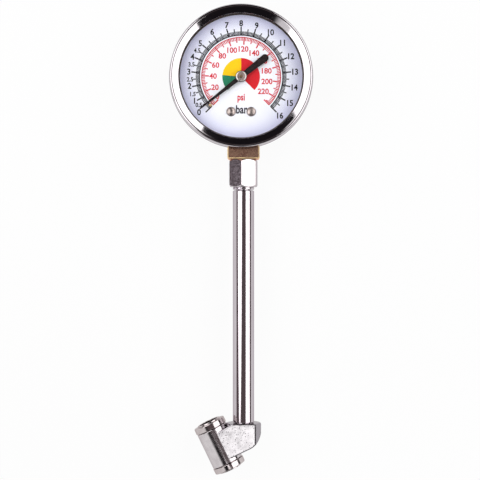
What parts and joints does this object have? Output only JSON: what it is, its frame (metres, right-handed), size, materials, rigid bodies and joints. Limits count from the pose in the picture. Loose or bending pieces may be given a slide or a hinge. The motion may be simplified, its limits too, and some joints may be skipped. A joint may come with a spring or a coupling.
{
  "type": "dial tyre pressure gauge",
  "caption": "Round dial tyre pressure gauge on a straight chromed tube, ending in an angled chuck with a valve mouth at either end.",
  "frame": {"origin": "centre of the case's flat back face", "axes": "+Z out through the dial, +Y from the chuck up the stem to the top of the dial, +X to the dial's right"},
  "size_m": [0.0668, 0.2192, 0.0264],
  "materials": {
    "bezel": "polished chrome plate",
    "bourdon_tip": "machined",
    "bourdon_tube": "drawn bronze",
    "case": "moulded black",
    "case_screw_left": "zinc plated",
    "case_screw_right": "zinc plated",
    "chuck_body": "chrome plate over die casting",
    "chuck_spring": "spring wire",
    "coupling_seal": "moulded",
    "dial_plate": "white enamel, printed",
    "dial_screw_left": "nickel plated dome",
    "dial_screw_right": "nickel plated dome",
    "hairspring": "bronze wire",
    "hex_coupling": "satin nickel plate",
    "link": "stamped",
    "lower_cap": "polished chrome plate",
    "lower_depressor": "turned",
    "lower_seal": "moulded",
    "movement_back_plate": "stamped",
    "movement_front_plate": "stamped",
    "movement_pillar_left": "turned",
    "movement_pillar_right": "turned",
    "movement_pillar_upper": "turned",
    "movement_screw_left": "zinc plated",
    "movement_screw_right": "zinc plated",
    "pinion_arbor": "cut teeth",
    "pointer": "black paint",
    "pointer_hub": "nickel plated",
    "sector_gear": "cut teeth",
    "socket": "milled",
    "stop_pin": "turned",
    "tube": "polished chrome plate",
    "upper_cap": "polished chrome plate",
    "upper_depressor": "turned",
    "upper_seal": "moulded",
    "window": "clear",
    "window_gasket": "moulded"
  },
  "bodies": {
    "gauge_and_stem": {"bezel": "bezel", "bourdon_tube": "bourdon_tube", "case": "case", "case_screw_left": "case_screw_left", "case_screw_right": "case_screw_right", "chuck_body": "chuck_body", "chuck_spring": "chuck_spring", "coupling_seal": "coupling_seal", "dial_plate": "dial_plate", "dial_screw_left": "dial_screw_left", "dial_screw_right": "dial_screw_right", "hairspring": "hairspring", "hex_coupling": "hex_coupling", "lower_cap": "lower_cap", "lower_seal": "lower_seal", "movement_back_plate": "movement_back_plate", "movement_front_plate": "movement_front_plate", "movement_pillar_left": "movement_pillar_left", "movement_pillar_right": "movement_pillar_right", "movement_pillar_upper": "movement_pillar_upper", "movement_screw_left": "movement_screw_left", "movement_screw_right": "movement_screw_right", "socket": "socket", "stop_pin": "stop_pin", "tube": "tube", "upper_cap": "upper_cap", "upper_seal": "upper_seal", "window": "window", "window_gasket": "window_gasket"},
    "pointer_body": {"pinion_arbor": "pinion_arbor", "pointer": "pointer", "pointer_hub": "pointer_hub"},
    "sector_body": {"sector_gear": "sector_gear"},
    "tip_body": {"bourdon_tip": "bourdon_tip"},
    "link_body": {"link": "link"},
    "upper_plunger": {"upper_depressor": "upper_depressor"},
    "lower_plunger": {"lower_depressor": "lower_depressor"}
  },
  "joints": [
    {"name": "pointer_turn", "type": "hinge", "parent": "gauge_and_stem", "child": "pointer_body", "pos_m": [0, 0, 0.0199], "axis": [0, 0, -1], "range_deg": [0, 263], "stiffness_Nm_per_rad": 0.0002, "springref_deg": -5.73, "deforming": ["hairspring"]},
    {"name": "sector_swing", "type": "hinge", "parent": "gauge_and_stem", "child": "sector_body", "pos_m": [0, -0.0132, 0.0134], "axis": [0, 0, -1], "range_deg": [-26.5, 0]},
    {"name": "tip_swing", "type": "hinge", "parent": "gauge_and_stem", "child": "tip_body", "pos_m": [-0.00335, 0.00461, 0.0071], "axis": [0, 0, -1], "range_deg": [-8.5, 0], "deforming": ["bourdon_tube"]},
    {"name": "link_swing", "type": "hinge", "parent": "sector_body", "child": "link_body", "pos_m": [0.00598, -0.01372, 0.0144], "axis": [0, 0, -1], "range_deg": [0, 30.2]},
    {"name": "upper_press", "type": "slide", "parent": "gauge_and_stem", "child": "upper_plunger", "axis": [0.4352, -0.9003, 0], "range_m": [0, 0.0016], "stiffness_N_per_m": 300, "springref_m": -0.002, "deforming": ["chuck_spring"]},
    {"name": "lower_press", "type": "slide", "parent": "gauge_and_stem", "child": "lower_plunger", "axis": [-0.4352, 0.9003, 0], "range_m": [0, 0.0016], "stiffness_N_per_m": 300, "springref_m": -0.002, "deforming": ["chuck_spring"]}
  ],
  "couplings": [
    {"joint": "sector_swing", "follows": "pointer_turn", "ratio": -0.1},
    {"joint": "tip_swing", "follows": "pointer_turn", "ratio": -0.031698},
    {"joint": "link_swing", "follows": "pointer_turn", "ratio": 0.1144}
  ]
}
